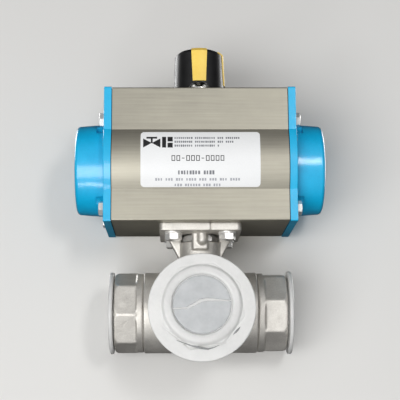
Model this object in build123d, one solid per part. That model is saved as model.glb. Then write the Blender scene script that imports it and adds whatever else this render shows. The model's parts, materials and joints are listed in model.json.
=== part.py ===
from build123d import *
import math
import os

# Rack-and-pinion pneumatic actuator on a three-way ball valve.
# Millimetres. +Z runs up the pinion, +X along the cylinder, and the branch port faces -Y.
# Heights are drawn from the mounting face between actuator and valve. Each piece is then
# written with the origin at the ball's centre, where the three pipe axes cross.

X_AXIS = (1, 0, 0)
Y_AXIS = (0, 1, 0)
Z_AXIS = (0, 0, 1)

# ---- actuator housing ----
BODY_HEIGHT = 74.7
BODY_WIDTH = 56.5
BODY_END = 48.4              # half length of the extruded body
BODY_CORNER = 0.8
BORE_Z = 34.0                # height of the cylinder axis
BORE_R = 26.0
BULGE_R = 32.8
AIR_PAD_Y = 35.0             # flat pad for the solenoid valve, on the rear
AIR_PAD_HEIGHT = 42.0
TOP_BOSS_R = 13.0
TOP_BOSS_Z = 76.8

# ---- end caps and their screws ----
GASKET = 0.4
FLANGE_IN = BODY_END + GASKET
FLANGE_OUT = FLANGE_IN + 4.2
FLANGE_GROWTH = 0.4          # how far the cap flange stands out round the body
FLANGE_EDGE = 0.5            # rounded outer edge of the flange
DOME_Z = 33.4
DOME_ROOT_R = 26.2
DOME_RIM_R = 25.0
DOME_END = 69.1
DOME_EDGE = 2.2
DOME_WALL = 3.6
CAVITY_R = 22.2
SPIGOT_R = BORE_R - 0.1      # the cap's register in the cylinder
SPIGOT_INNER_R = 22.6
SPIGOT_END = 47.3
SCREW_BOSS_R = 11.0
SCREW_BOSS_END = 56.0
CAP_BOLT_Y = 20.5
CAP_BOLT_LEVELS = (8.0, 58.0)
CAP_BOLT_END = 38.0
CAP_BOLT_POCKET_R = 7.4
CAP_BOLT_POCKET = 4.6
M4_R = 1.98
M4_CLEAR_R = 2.25
M4_HEAD = 2.8
M4_FLATS = 7.0
STROKE_SCREW_R = 4.0
STROKE_SCREW_END = 68.6
STROKE_KEY = 4.0             # hexagon socket, across flats
STROKE_KEY_FLOOR = 64.2
NUT_SEAT_R = 9.2
NUT_SEAT_X = 64.1
STROKE_NUT_FLATS = 13.0
STROKE_NUT_X = (64.15, 68.1)

# ---- mounting face, accessory and air interfaces ----
FACE_BOLT_PITCH = 42.0 / math.sqrt(2)     # ISO 5211 F04
FACE_TAP_DEPTH = 8.5
M5_R = 2.45
M5_TAPPED_R = 2.5
M5_CLEAR_R = 2.75
M5_FLATS = 8.0
M5_HEAD = 3.5
HEAD_TOP_R = 0.475           # radius of a bolt head's flat end, per millimetre across flats
HEAD_CHAMFER = math.tan(math.radians(60))
M5_TIP = 7.5                 # how far the mounting bolts reach into the actuator
WASHER = (5.0, 2.65, 1.0)    # outer radius, inner radius, thickness
TOP_PATTERN = (80.0, 30.0)                # VDI/VDE 3845
TOP_TAP_DEPTH = 9.0
AIR_PITCH = 24.0                          # NAMUR ports
AIR_BOLTS = (24.0, 32.0)                  # NAMUR screws
AIR_TAP_DEPTH = 8.0
AIR_PORT_R = 4.86
AIR_PORT_DEPTH = 7.0
GALLERY_R = 1.6
GALLERY_YZ = (28.9, BORE_Z - 8.0)         # air passage to both end chambers
CROSS_DRILL_R = 1.4
INNER_FEED_R = 3.0

# ---- pinion and racks ----
MODULE = 1.0
TEETH = 18
PRESSURE_ANGLE = math.radians(20)
PITCH_R = MODULE * TEETH / 2
ADDENDUM = MODULE
DEDENDUM = 1.25 * MODULE
BACKLASH = 0.10              # total, along the pitch line
STROKE = PITCH_R * math.pi / 2
GEAR_Z = (BORE_Z - 7.5, BORE_Z + 7.5)
RACK_Z = (BORE_Z - 7.0, BORE_Z + 7.0)
JOURNAL_R = 11.0
JOURNAL_Z = (0.4, 24.0)
COLLAR_Z = (43.5, 59.1)      # the pinion's upper collar, under the inner thrust washer
GEAR_COLLAR_R = 10.0
GEAR_NECK_R = 7.6
SHAFT_R = 7.0
SHAFT_TOP = 94.0
SHAFT_FLATS = 11.0
FLATS_Z = 83.0
SQUARE = 11.0                # drive of the valve stem
SOCKET_TOP = 13.0
SLOT = (4.0, 3.0)            # width and depth of the slot on top
INDICATOR_THREAD_R = 3.0
RUNNING = 0.05               # radial running clearance
SEAL_GAP = 0.1               # radial gap behind which a seal sits
LOWER_BUSH_R = 12.5
LOWER_BUSH_TOP = 4.3
LOWER_BORE_TOP = 14.0
SHOULDER_R = 10.6            # pocket of the pinion's collar and its thrust washer
SHOULDER_Z = 60.6
UPPER_BUSH_R = 8.6
UPPER_BUSH_FOOT = 69.5
LOWER_GROOVE = (9.5, 5.3, 7.1)            # floor radius and heights of the lower seal's groove
UPPER_GROOVE = (5.8, 64.3, 65.7)
CLIP_GROOVE = (6.4, 79.95, 81.25)
CLIP_Z = (80.0, 81.2)
CLIP_R = (6.45, 9.3)
CLIP_EYE = (3.4, -9.2)
CLIP_EYE_R = (0.8, 2.0)
THRUST_WASHER_Z = (59.2, 60.5)
OUTER_WASHER_Z = (TOP_BOSS_Z + 0.05, 78.45)
RETAINER_Z = (78.5, 79.95)

# ---- pistons, drawn at the outer end of their stroke ----
HEAD_IN = 20.5 + STROKE
HEAD_OUT = HEAD_IN + 11.46
HEAD_R = BORE_R - 0.3
ORING_GROOVE = (23.4, 4.2, 1.6)           # floor radius, and how far in from the outer face
RING_GROOVE = (24.4, 1.6, 4.8)            # floor radius, and how far out from the inner face
RACK_TIP = -5.0
RACK_BACK = 22.0
RACK_FACE = -(PITCH_R - ADDENDUM)
WEB = (6.0, 3.0)                          # length and height of the fillet web behind the head
PAD_X = (-2.0, 22.0)
PAD_FLOOR = -20.5
PAD_HALF = 5.0
DISH_R = (7.0, 19.0)
DISH = 1.2

# ---- position indicator ----
CAP_BASE_Z = 75.8
CAP_TOP_Z = 102.3
CAP_BASE_R = 14.7
CAP_TOP_R = 13.75
CAP_CHAMFER = 2.1
SKIRT_R = 13.1
HUB_R = 10.0
HUB_Z = 83.0
ARCH_R = 7.6
ARCH_Z = 74.4
MARKER_PROUD = 0.6
MARKER_DEEP = 0.8
MARKER_TOP_Z = 102.6
MARKER_CHAMFER = 1.9
MARKER_BOTTOM_Z = 82.6
MARKER_HALF = (4.45, 3.75)                # half widths at the top and at the foot
SCREW_HEAD_R = 3.4
SCREW_R = 2.9
SCREW_RECESS_R = 3.9

# ---- valve ----
PORT_Z = -47.5               # height of the pipe axes
RUN_R = 22.25
RUN_END = 31.1               # where the cast body stops on each pipe axis
CHAMBER_R = 19.5
REAR_BOSS = (17.0, 22.8)     # radius, and reach behind the stem axis
GASKET_BORE_R = 20.5
GASKET_BORE = 1.6            # depth of the recess that holds each body gasket
BALL_R = 18.5
BALL_PORT_R = 10.0
BALL_SLOT = (6.2, 3.7)       # width and depth of the slot for the stem
SEAT_R = 13.4
SEAT_HOLE_R = 9.9
SEAT_IN = 13.45
SEAT_OUT = 18.3
STEM_R = 7.0
STEM_TOP = 11.8
TANG = (6.0, 13.0)           # thickness and width of the stem's tang
STEM_FLANGE = (9.2, -28.7, -26.8)         # radius and heights
STEM_POCKET = (9.4, -25.3)   # radius and roof of the pocket over the stem flange
THRUST_SEAL_Z = (-26.75, -25.35)
PACKING_R = 10.0
PACKING_FLOOR = -20.0
PACKING_PITCH = 2.45
PACKING_DEEP = 0.9           # depth of each ring's V
PACKING_RING = 1.5
GLAND_TOP = -9.75
SPRING_R = (7.1, 9.6)
SPRING_CONE = 0.7
SPRING_THICK = 0.5
SPRING_FEET = (-9.0, -8.45)
STEM_NUT_FLATS = 17.0
STEM_NUT_Z = (-7.9, -4.6)
COLLAR_R = 11.65
COLLAR_TOP = -8.6
PAD_SIDE = 45.0
PAD_THICK = 4.4
PAD_CORNER = 2.8
PAD_HOLE_R = 10.6
PARTING_X = (5.4, 6.1)       # casting groove across the pad's front edge
PARTING_DEEP = 0.45
GUSSET_FOOT = 8.0
GUSSET_TOP = 19.5
GUSSET_LOW = -18.5
GUSSET_HALF = 4.0
RIB = (4.3, -13.4, -13.6)    # half width, front face and lower end
POST_R = 2.5
POST_AT = (1.0, -14.0, COLLAR_TOP)
RING_IN = RUN_END + 0.2
RING_OUT = 34.9
RING_R = 21.8
SPIGOT_BACK = SEAT_OUT + 1.3
SEAT_POCKET = (15.2, 15.6)   # outer radius and inner end of the seat's holder
WATERWAY_R = 10.6
OCTAGON_FLATS = 41.0
OCTAGON_EDGE = 1.6
OCTAGON_END_R = 21.0
PORT_FACE = 47.1
SOCKET_R = 16.3              # 1 in NPT at the face
SOCKET_DEPTH = 18.0
NPT_SLOPE = 1 / 32           # radius lost per millimetre of depth
PLUG_MOUTH_R = 15.95
PLUG_TIP_R = 15.45
PLUG_DEPTH = 12.0
PLUG_WEB_DROP = 0.2          # how far the web lies behind the flange
PLUG_WALL = 1.1
PLUG_LIP = 5.0               # width of the raised ring round the mouth


def rod(direction, radius, start, end, centre=(0, 0, 0)):
    """A cylinder along a unit direction, between two distances from centre."""
    foot = Vector(*centre) + Vector(*direction) * start
    return extrude(Plane(origin=foot, z_dir=direction) * Circle(radius), end - start)


def ring(direction, outer, inner, start, end, centre=(0, 0, 0)):
    """A plain tube along a unit direction."""
    return rod(direction, outer, start, end, centre) - rod(direction, inner, start, end, centre)


def prism(direction, sides, flats, start, end, centre=(0, 0, 0), turn=0.0):
    """A regular prism, given across its flats."""
    foot = Vector(*centre) + Vector(*direction) * start
    outline = RegularPolygon(flats / 2, sides, major_radius=False, rotation=turn)
    return extrude(Plane(origin=foot, z_dir=direction) * outline, end - start)


def block(x_range, y_range, z_range):
    """A box between two coordinates on each axis."""
    size = [b - a for a, b in (x_range, y_range, z_range)]
    middle = [(a + b) / 2 for a, b in (x_range, y_range, z_range)]
    return Pos(*middle) * Box(*size)


def cone(direction, radius_a, radius_b, start, end, centre=(0, 0, 0)):
    """A frustum along a unit direction."""
    middle = Vector(*centre) + Vector(*direction) * ((start + end) / 2)
    plane = Plane(origin=middle, z_dir=direction)
    return plane * Cone(radius_a, radius_b, end - start)


def oring(direction, middle_r, section_r, at, centre=(0, 0, 0)):
    """A round-section ring about a unit direction."""
    middle = Vector(*centre) + Vector(*direction) * at
    return Plane(origin=middle, z_dir=direction) * Torus(middle_r, section_r)


def spin(profile_points, direction, centre=(0, 0, 0)):
    """Turn a closed outline of (radius, distance) points about a unit direction."""
    outline = Polyline(*[(r, 0, d) for r, d in profile_points], close=True)
    solid = revolve(make_face(outline), Axis.Z, 360)
    return Plane(origin=centre, z_dir=direction) * solid


def half_turn(shape):
    """The same piece on the other side of the pinion."""
    return Rot(0, 0, 180) * shape


def four_corners(half_x, half_y):
    return [(sx * half_x, sy * half_y) for sx in (-1, 1) for sy in (-1, 1)]


# ---------------------------------------------------------------- housing

def body_outline(growth=0.0):
    """Flat-sided block with the round cylinder bulge, drawn in the YZ plane."""
    side = RectangleRounded(BODY_WIDTH + 2 * growth, BODY_HEIGHT + 2 * growth, BODY_CORNER)
    return Plane.YZ * (Pos(0, BODY_HEIGHT / 2) * side + Pos(0, BORE_Z) * Circle(BULGE_R + growth))


def rear_pad():
    """Full-length flat rib that carries the air ports."""
    rib = RectangleRounded(AIR_PAD_Y, AIR_PAD_HEIGHT, BODY_CORNER)
    return extrude(Plane.YZ * Pos(AIR_PAD_Y / 2, BORE_Z) * rib, BODY_END, both=True)


def actuator_body():
    shell = extrude(body_outline(), BODY_END, both=True) + rear_pad()
    shell += rod(Z_AXIS, TOP_BOSS_R, BODY_HEIGHT - 1, TOP_BOSS_Z)
    shell -= rod(X_AXIS, BORE_R, -BODY_END, BODY_END, (0, 0, BORE_Z))
    # pinion passage: lower bush seat, lower seal bore, inner shoulder, upper seal bore, bush seat
    shell -= rod(Z_AXIS, LOWER_BUSH_R, 0, LOWER_BUSH_TOP)
    shell -= rod(Z_AXIS, JOURNAL_R + SEAL_GAP, 0, LOWER_BORE_TOP)
    shell -= rod(Z_AXIS, SHOULDER_R, BORE_Z, SHOULDER_Z)
    shell -= rod(Z_AXIS, SHAFT_R + SEAL_GAP, BORE_Z, TOP_BOSS_Z)
    shell -= rod(Z_AXIS, UPPER_BUSH_R, UPPER_BUSH_FOOT, TOP_BOSS_Z)
    for x, y in face_bolt_places():
        shell -= rod(Z_AXIS, M5_TAPPED_R, 0, FACE_TAP_DEPTH, (x, y, 0))
    for x, y in four_corners(TOP_PATTERN[0] / 2, TOP_PATTERN[1] / 2):
        shell -= rod(Z_AXIS, M5_TAPPED_R, BODY_HEIGHT - TOP_TAP_DEPTH, BODY_HEIGHT, (x, y, 0))
    for x, z in four_corners(AIR_BOLTS[0] / 2, AIR_BOLTS[1] / 2):
        shell -= rod(Y_AXIS, M5_TAPPED_R, AIR_PAD_Y - AIR_TAP_DEPTH, AIR_PAD_Y, (x, 0, BORE_Z + z))
    for side in (-1, 1):
        centre = (side * AIR_PITCH / 2, 0, BORE_Z)
        shell -= rod(Y_AXIS, AIR_PORT_R, AIR_PAD_Y - AIR_PORT_DEPTH, AIR_PAD_Y, centre)
    # the left port feeds the space between the pistons, the right one both ends
    shell -= rod(Y_AXIS, INNER_FEED_R, BORE_R - 6, AIR_PAD_Y - 1, (-AIR_PITCH / 2, 0, BORE_Z))
    shell -= rod(X_AXIS, GALLERY_R, -BODY_END, BODY_END, (0, *GALLERY_YZ))
    drill_foot = (AIR_PITCH / 2, AIR_PAD_Y - AIR_PORT_DEPTH + CROSS_DRILL_R + 0.2, 0)
    shell -= rod(Z_AXIS, CROSS_DRILL_R, GALLERY_YZ[1], BORE_Z - 3, drill_foot)
    for side in (-1, 1):
        for y, z in cap_bolt_places():
            shell -= rod((side, 0, 0), M4_R + RUNNING, CAP_BOLT_END - 1, BODY_END, (0, y, z))
    return shell


def face_bolt_places():
    return four_corners(FACE_BOLT_PITCH / 2, FACE_BOLT_PITCH / 2)


def cap_bolt_places():
    return [(side * CAP_BOLT_Y, level) for side in (-1, 1) for level in CAP_BOLT_LEVELS]


def right_gasket():
    sheet = extrude(body_outline(-0.6), FLANGE_IN) & block((BODY_END, FLANGE_IN), (-40, 40), (-5, 80))
    sheet -= rod(X_AXIS, BORE_R, BODY_END - 1, FLANGE_IN + 1, (0, 0, BORE_Z))
    sheet -= rod(X_AXIS, GALLERY_R, BODY_END - 1, FLANGE_IN + 1, (0, *GALLERY_YZ))
    for y, z in cap_bolt_places():
        sheet -= rod(X_AXIS, M4_CLEAR_R, BODY_END - 1, FLANGE_IN + 1, (0, y, z))
    return sheet


def right_end_cap():
    axis = (0, 0, BORE_Z)
    dome_axis = (0, 0, DOME_Z)
    flange = extrude(body_outline(FLANGE_GROWTH), FLANGE_OUT)
    flange &= block((FLANGE_IN, FLANGE_OUT), (-45, 45), (-5, 80))
    flange = fillet(flange.faces().sort_by(Axis.X)[-1].edges(), FLANGE_EDGE)
    dome = cone(X_AXIS, DOME_ROOT_R, DOME_RIM_R, FLANGE_OUT - 0.5, DOME_END, dome_axis)
    rim = dome.edges().filter_by(GeomType.CIRCLE).sort_by(Axis.X)[-1]
    dome = fillet(rim, DOME_EDGE)
    cap = flange + dome
    cap += ring(X_AXIS, SPIGOT_R, SPIGOT_INNER_R, SPIGOT_END, FLANGE_IN + 1, axis)
    cavity = rod(X_AXIS, CAVITY_R, FLANGE_IN - 2, DOME_END - DOME_WALL, dome_axis)
    cavity -= rod(X_AXIS, SCREW_BOSS_R, SCREW_BOSS_END, DOME_END, dome_axis)
    cap -= cavity
    # passage from the body gallery into the cap chamber
    gallery_y, gallery_z = GALLERY_YZ
    cap -= block((FLANGE_IN, FLANGE_IN + 2.2), (CAVITY_R - 2.2, gallery_y + GALLERY_R),
                 (gallery_z - GALLERY_R, gallery_z + GALLERY_R))
    # recessed seat and thread for the stroke screw
    cap -= rod(X_AXIS, NUT_SEAT_R, NUT_SEAT_X, DOME_END, dome_axis)
    cap -= rod(X_AXIS, STROKE_SCREW_R + RUNNING, SCREW_BOSS_END - 6, DOME_END, dome_axis)
    for y, z in cap_bolt_places():
        cap -= rod(X_AXIS, M4_CLEAR_R, FLANGE_IN - 1, FLANGE_OUT + 1, (0, y, z))
        cap -= rod(X_AXIS, CAP_BOLT_POCKET_R, FLANGE_OUT, FLANGE_OUT + CAP_BOLT_POCKET, (0, y, z))
    return cap


def cap_bolts(side):
    along = (side, 0, 0)
    head_end = FLANGE_OUT + M4_HEAD
    flat_r = M4_FLATS * HEAD_TOP_R
    bolts = []
    for index, (y, z) in enumerate(cap_bolt_places()):
        head = prism(along, 6, M4_FLATS, FLANGE_OUT, head_end, (0, y, z), 8 + 17 * index)
        head &= cone(along, flat_r + HEAD_CHAMFER * M4_HEAD, flat_r, FLANGE_OUT, head_end, (0, y, z))
        bolts.append(head + rod(along, M4_R, CAP_BOLT_END, FLANGE_OUT, (0, y, z)))
    return bolts


def right_stroke_screw():
    centre = (0, 0, DOME_Z)
    screw = rod(X_AXIS, STROKE_SCREW_R, HEAD_OUT + 0.15, STROKE_SCREW_END, centre)
    screw = chamfer(screw.edges().filter_by(GeomType.CIRCLE), 0.5)
    return screw - prism(X_AXIS, 6, STROKE_KEY, STROKE_KEY_FLOOR, DOME_END, centre)


def right_stroke_nut():
    centre = (0, 0, DOME_Z)
    nut = prism(X_AXIS, 6, STROKE_NUT_FLATS, *STROKE_NUT_X, centre)
    nut &= cone(X_AXIS, 9.6, 6.9, STROKE_NUT_X[0] - 0.5, STROKE_NUT_X[1] + 1, centre)
    return nut - rod(X_AXIS, STROKE_SCREW_R, STROKE_NUT_X[0] - 1, STROKE_NUT_X[1] + 1, centre)


def name_label():
    """Sticker wrapped on the front of the bulge."""
    half_length, low, high, corner = 32.6, 18.2, 48.8, 2.0
    skin = ring(X_AXIS, BULGE_R + 0.15, BULGE_R, -half_length, half_length, (0, 0, BORE_Z))
    outline = RectangleRounded(2 * half_length, high - low, corner)
    window = extrude(Plane.XZ.offset(20) * Pos(0, (high + low) / 2) * outline, 20)
    return skin & window


# ---------------------------------------------------------------- pinion group

def involute(angle):
    return math.tan(angle) - angle


def gear_outline():
    """Eighteen involute teeth, one of them centred on -Y."""
    base_r = PITCH_R * math.cos(PRESSURE_ANGLE)
    tip_r = PITCH_R + ADDENDUM
    root_r = PITCH_R - DEDENDUM
    half_base = math.pi / (2 * TEETH) + involute(PRESSURE_ANGLE) - BACKLASH / (4 * PITCH_R)
    steps = 5
    radii = [base_r + (tip_r - base_r) * i / steps for i in range(steps + 1)]
    flank = [(r, half_base - involute(math.acos(min(1.0, base_r / r)))) for r in radii]

    def point(radius, angle):
        return (radius * math.cos(angle), radius * math.sin(angle))

    edges = []
    for tooth in range(TEETH):
        middle = -math.pi / 2 + tooth * 2 * math.pi / TEETH
        after = middle + 2 * math.pi / TEETH
        tip_angle = flank[-1][1]
        edges.append(Line(point(root_r, middle - half_base), point(base_r, middle - half_base)))
        edges.append(Spline(*[point(r, middle - a) for r, a in flank]))
        edges.append(ThreePointArc(point(tip_r, middle - tip_angle), point(tip_r, middle),
                                   point(tip_r, middle + tip_angle)))
        edges.append(Spline(*[point(r, middle + a) for r, a in reversed(flank)]))
        edges.append(Line(point(base_r, middle + half_base), point(root_r, middle + half_base)))
        edges.append(ThreePointArc(point(root_r, middle + half_base),
                                   point(root_r, (middle + after) / 2),
                                   point(root_r, after - half_base)))
    return make_face(Wire(edges))


def square_bar(across, start, end, turn=0.0):
    return extrude(Plane.XY.offset(start) * Rot(0, 0, turn) * Rectangle(across, across), end - start)


def groove(radius, low, high):
    """The ring of material that a groove takes from a shaft."""
    return ring(Z_AXIS, 20, radius, low, high)


def pinion():
    shaft = rod(Z_AXIS, JOURNAL_R, *JOURNAL_Z)
    shaft += rod(Z_AXIS, GEAR_NECK_R, JOURNAL_Z[1], COLLAR_Z[0] + 1)
    shaft += extrude(Plane.XY.offset(GEAR_Z[0]) * gear_outline(), GEAR_Z[1] - GEAR_Z[0])
    shaft += rod(Z_AXIS, GEAR_COLLAR_R, *COLLAR_Z)
    shaft += rod(Z_AXIS, SHAFT_R, COLLAR_Z[1], SHAFT_TOP)
    for cut in (LOWER_GROOVE, UPPER_GROOVE, CLIP_GROOVE):
        shaft -= groove(*cut)
    # two driving flats and a slot at the top, and the thread of the indicator screw
    for side in (-1, 1):
        near, far = sorted((side * SHAFT_FLATS / 2, side * SHAFT_FLATS))
        shaft -= block((near, far), (-SHAFT_R, SHAFT_R), (FLATS_Z, SHAFT_TOP))
    width, depth = SLOT
    shaft -= block((-SHAFT_R, SHAFT_R), (-width / 2, width / 2), (SHAFT_TOP - depth, SHAFT_TOP))
    shaft -= rod(Z_AXIS, INDICATOR_THREAD_R, SHAFT_TOP - 14, SHAFT_TOP)
    # eight-point socket for the valve stem
    for turn in (0, 45):
        shaft -= square_bar(SQUARE + 0.16, 0, SOCKET_TOP, turn)
    return shaft


def upper_circlip():
    """External retaining ring with two eyes at the front."""
    inner, outer = CLIP_R
    hole, boss = CLIP_EYE_R
    clip = ring(Z_AXIS, outer, inner, *CLIP_Z)
    for side in (-1, 1):
        centre = (side * CLIP_EYE[0], CLIP_EYE[1], 0)
        clip += rod(Z_AXIS, boss, *CLIP_Z, centre)
        clip -= rod(Z_AXIS, hole, *CLIP_Z, centre)
    return clip - block((-1.7, 1.7), (-2 * outer, 0), CLIP_Z)


def indicator_shell(growth, bottom, top):
    """The tapered outside of the indicator, grown by a distance."""
    slope = (CAP_BASE_R - CAP_TOP_R) / (CAP_TOP_Z - CAP_BASE_Z)
    low_r = CAP_BASE_R + growth + slope * (CAP_BASE_Z - bottom)
    high_r = CAP_BASE_R + growth - slope * (top - CAP_BASE_Z)
    return cone(Z_AXIS, low_r, high_r, bottom, top)


def top_rim(shape):
    return shape.edges().filter_by(GeomType.CIRCLE).sort_by(Axis.Z)[-1]


def indicator_marker():
    """Yellow L-shaped insert: two bars on top, each running down one side."""
    half_top, half_bottom = MARKER_HALF
    shoulder = CAP_TOP_Z - 3
    side_face = Polyline((-half_top, shoulder), (half_top, shoulder),
                         (half_bottom, MARKER_BOTTOM_Z), (-half_bottom, MARKER_BOTTOM_Z), close=True)
    wedge = extrude(Plane.XZ * make_face(side_face), 20)
    outside = indicator_shell(MARKER_PROUD, MARKER_BOTTOM_Z - 2, MARKER_TOP_Z)
    outside = chamfer(top_rim(outside), MARKER_CHAMFER)
    inside = indicator_shell(-MARKER_DEEP, MARKER_BOTTOM_Z - 3, MARKER_TOP_Z + 1)
    strip = wedge & (outside - inside)
    bar = block((-half_top, half_top), (-20, half_top), (CAP_TOP_Z - MARKER_DEEP, MARKER_TOP_Z))
    upper = block((-half_top, half_top), (-20, -CAP_TOP_R + CAP_CHAMFER), (shoulder, MARKER_TOP_Z))
    front = strip + ((bar + upper) & outside)
    marker = front + Rot(0, 0, 90) * front
    return marker - rod(Z_AXIS, SCREW_RECESS_R, shoulder - 5, MARKER_TOP_Z + 1)


def position_indicator(marker):
    cap = indicator_shell(0, CAP_BASE_Z, CAP_TOP_Z)
    cap = chamfer(top_rim(cap), CAP_CHAMFER)
    cap -= rod(Z_AXIS, SKIRT_R, CAP_BASE_Z - 1, SHAFT_TOP) - rod(Z_AXIS, HUB_R, HUB_Z, SHAFT_TOP + 1)
    bore_r = SHAFT_R + RUNNING
    half_flats = SHAFT_FLATS / 2 + RUNNING
    bore = rod(Z_AXIS, bore_r, HUB_Z - 1, SHAFT_TOP + RUNNING)
    cap -= bore & block((-half_flats, half_flats), (-20, 20), (HUB_Z - 1, SHAFT_TOP + 1))
    for direction in (X_AXIS, Y_AXIS):
        cap -= rod(direction, ARCH_R, -20, 20, (0, 0, ARCH_Z))
    cap -= rod(Z_AXIS, SCREW_R + RUNNING, SHAFT_TOP - 1, CAP_TOP_Z + 1)
    # counterbore of the screw head
    cap -= rod(Z_AXIS, SCREW_RECESS_R, CAP_TOP_Z - 2.3, CAP_TOP_Z + 1)
    cap -= marker
    return cap


def indicator_screw():
    seat = CAP_TOP_Z - 2.3
    head = rod(Z_AXIS, SCREW_HEAD_R, seat, seat + 2.2)
    head = fillet(top_rim(head), 0.6)
    screw = head + rod(Z_AXIS, SCREW_R, SHAFT_TOP - 10, seat)
    return screw - prism(Z_AXIS, 6, 2.5, seat + 0.5, seat + 3)


# ---------------------------------------------------------------- pistons

def tooth_space(x):
    """One gap of the right-hand rack, cut from its tip line to its root line."""
    pitch_half = math.pi * MODULE / 4 + BACKLASH / 4
    tip_half = pitch_half + ADDENDUM * math.tan(PRESSURE_ANGLE)
    root_half = pitch_half - DEDENDUM * math.tan(PRESSURE_ANGLE)
    tip_y = -(PITCH_R - ADDENDUM)
    root_y = -(PITCH_R + DEDENDUM)
    outline = Polyline((x - tip_half, tip_y), (x + tip_half, tip_y),
                       (x + root_half, root_y), (x - root_half, root_y), close=True)
    return extrude(Plane.XY.offset(RACK_Z[0]) * make_face(outline), RACK_Z[1] - RACK_Z[0])


def right_piston():
    axis = (0, 0, BORE_Z)
    piston = rod(X_AXIS, HEAD_R, HEAD_IN, HEAD_OUT, axis)
    floor_r, far, near = ORING_GROOVE
    piston -= ring(X_AXIS, 40, floor_r, HEAD_OUT - far, HEAD_OUT - near, axis)
    floor_r, near, far = RING_GROOVE
    piston -= ring(X_AXIS, 40, floor_r, HEAD_IN + near, HEAD_IN + far, axis)
    arm = block((RACK_TIP, HEAD_IN + 1), (-RACK_BACK, RACK_FACE), RACK_Z)
    for index in range(-1, 7):
        arm -= tooth_space(index * math.pi * MODULE)
    # web that stiffens the root of the rack
    length, height = WEB
    web = block((HEAD_IN - length, HEAD_IN + 1), (-RACK_BACK, RACK_FACE),
                (RACK_Z[0] - height, RACK_Z[1] + height))
    web -= block((HEAD_IN - length - 1, HEAD_IN - height), (-RACK_BACK - 1, 0),
                 (RACK_Z[0] - 1, RACK_Z[1] + 1))
    piston += arm + web
    piston -= rack_pad_shape(0.03)
    # shallow dish on the outer face, leaving a flat for the stroke screw
    piston -= ring(X_AXIS, DISH_R[1], DISH_R[0], HEAD_OUT - DISH, HEAD_OUT + 1, axis)
    return piston


def rack_pad_shape(growth=0.0):
    """Slide pad let into the back of the rack, bearing on the cylinder wall."""
    bar = block((PAD_X[0] - growth, PAD_X[1] + growth), (-30, PAD_FLOOR + growth),
                (BORE_Z - PAD_HALF - growth, BORE_Z + PAD_HALF + growth))
    return bar & rod(X_AXIS, BORE_R - RUNNING, -10, 40, (0, 0, BORE_Z))


def right_piston_ring():
    floor_r, near, far = RING_GROOVE
    return ring(X_AXIS, BORE_R - RUNNING, floor_r + RUNNING, HEAD_IN + near + 0.1,
                HEAD_IN + far - 0.1, (0, 0, BORE_Z))


def right_piston_oring():
    floor_r, far, near = ORING_GROOVE
    section = (BORE_R - floor_r) / 2 - RUNNING
    return oring(X_AXIS, (BORE_R + floor_r) / 2, section, HEAD_OUT - (far + near) / 2, (0, 0, BORE_Z))


# ---------------------------------------------------------------- valve

def valve_centre():
    return (0, 0, PORT_Z)


def port_directions():
    return ((1, 0, 0), (-1, 0, 0), (0, -1, 0))


def valve_body():
    centre = valve_centre()
    body = rod(Y_AXIS, REAR_BOSS[0], 0, REAR_BOSS[1], centre)
    for direction in port_directions():
        body += rod(direction, RUN_R, 0, RUN_END, centre)
    body += rod(Z_AXIS, COLLAR_R, PORT_Z, COLLAR_TOP)
    body += mounting_pad()
    body += neck_ribs() - rod(Z_AXIS, COLLAR_R - 0.5, PORT_Z, 1)
    # ball chamber and the bores that take the end connectors
    for direction in port_directions():
        body -= rod(direction, CHAMBER_R, 0, RUN_END, centre)
        body -= rod(direction, GASKET_BORE_R, RUN_END - GASKET_BORE, RUN_END, centre)
    body -= rod(Y_AXIS, SEAT_R + RUNNING, 0, SEAT_OUT + RUNNING, centre)
    # stem passage: flange pocket, guide, packing box, and the hole in the pad
    body -= rod(Z_AXIS, STEM_POCKET[0], PORT_Z, STEM_POCKET[1])
    body -= rod(Z_AXIS, STEM_R + RUNNING, STEM_POCKET[1] - 1, PACKING_FLOOR + 1)
    body -= rod(Z_AXIS, PACKING_R, PACKING_FLOOR, -PAD_THICK)
    body -= rod(Z_AXIS, PAD_HOLE_R, COLLAR_TOP + 1.6, 1)
    return body


def mounting_pad():
    side = RectangleRounded(PAD_SIDE, PAD_SIDE, PAD_CORNER)
    pad = extrude(Plane.XY.offset(-PAD_THICK) * side, PAD_THICK - 0.05)
    for x, y in face_bolt_places():
        pad -= rod(Z_AXIS, M5_CLEAR_R, -PAD_THICK, 0, (x, y, 0))
    return pad - block(PARTING_X, (-PAD_SIDE, -PAD_SIDE / 2 + PARTING_DEEP), (-PAD_THICK - 1, 1))


def neck_ribs():
    """Side gussets and the front and rear ribs that join the pad to the collar."""
    foot = -PAD_THICK + 0.45
    outline = Polyline((GUSSET_FOOT, foot), (GUSSET_TOP, foot), (GUSSET_TOP - 2.9, COLLAR_TOP + 0.4),
                       (COLLAR_R - 0.45, GUSSET_LOW), (GUSSET_FOOT, GUSSET_LOW), close=True)
    gusset = extrude(Plane.XZ * make_face(outline), GUSSET_HALF, both=True)
    half, front, low = RIB
    ribs = gusset + half_turn(gusset)
    for turn in (0, 180):
        rib = block((-half, half), (front, COLLAR_TOP), (low, foot))
        rib = chamfer(rib.edges().filter_by(Axis.Z).sort_by(Axis.Y)[:2], 0.8)
        post = rod(Z_AXIS, POST_R, POST_AT[2], foot, (POST_AT[0], POST_AT[1], 0))
        ribs += Rot(0, 0, turn) * (rib + post + Pos(*POST_AT) * Sphere(POST_R))
    return ribs


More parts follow.
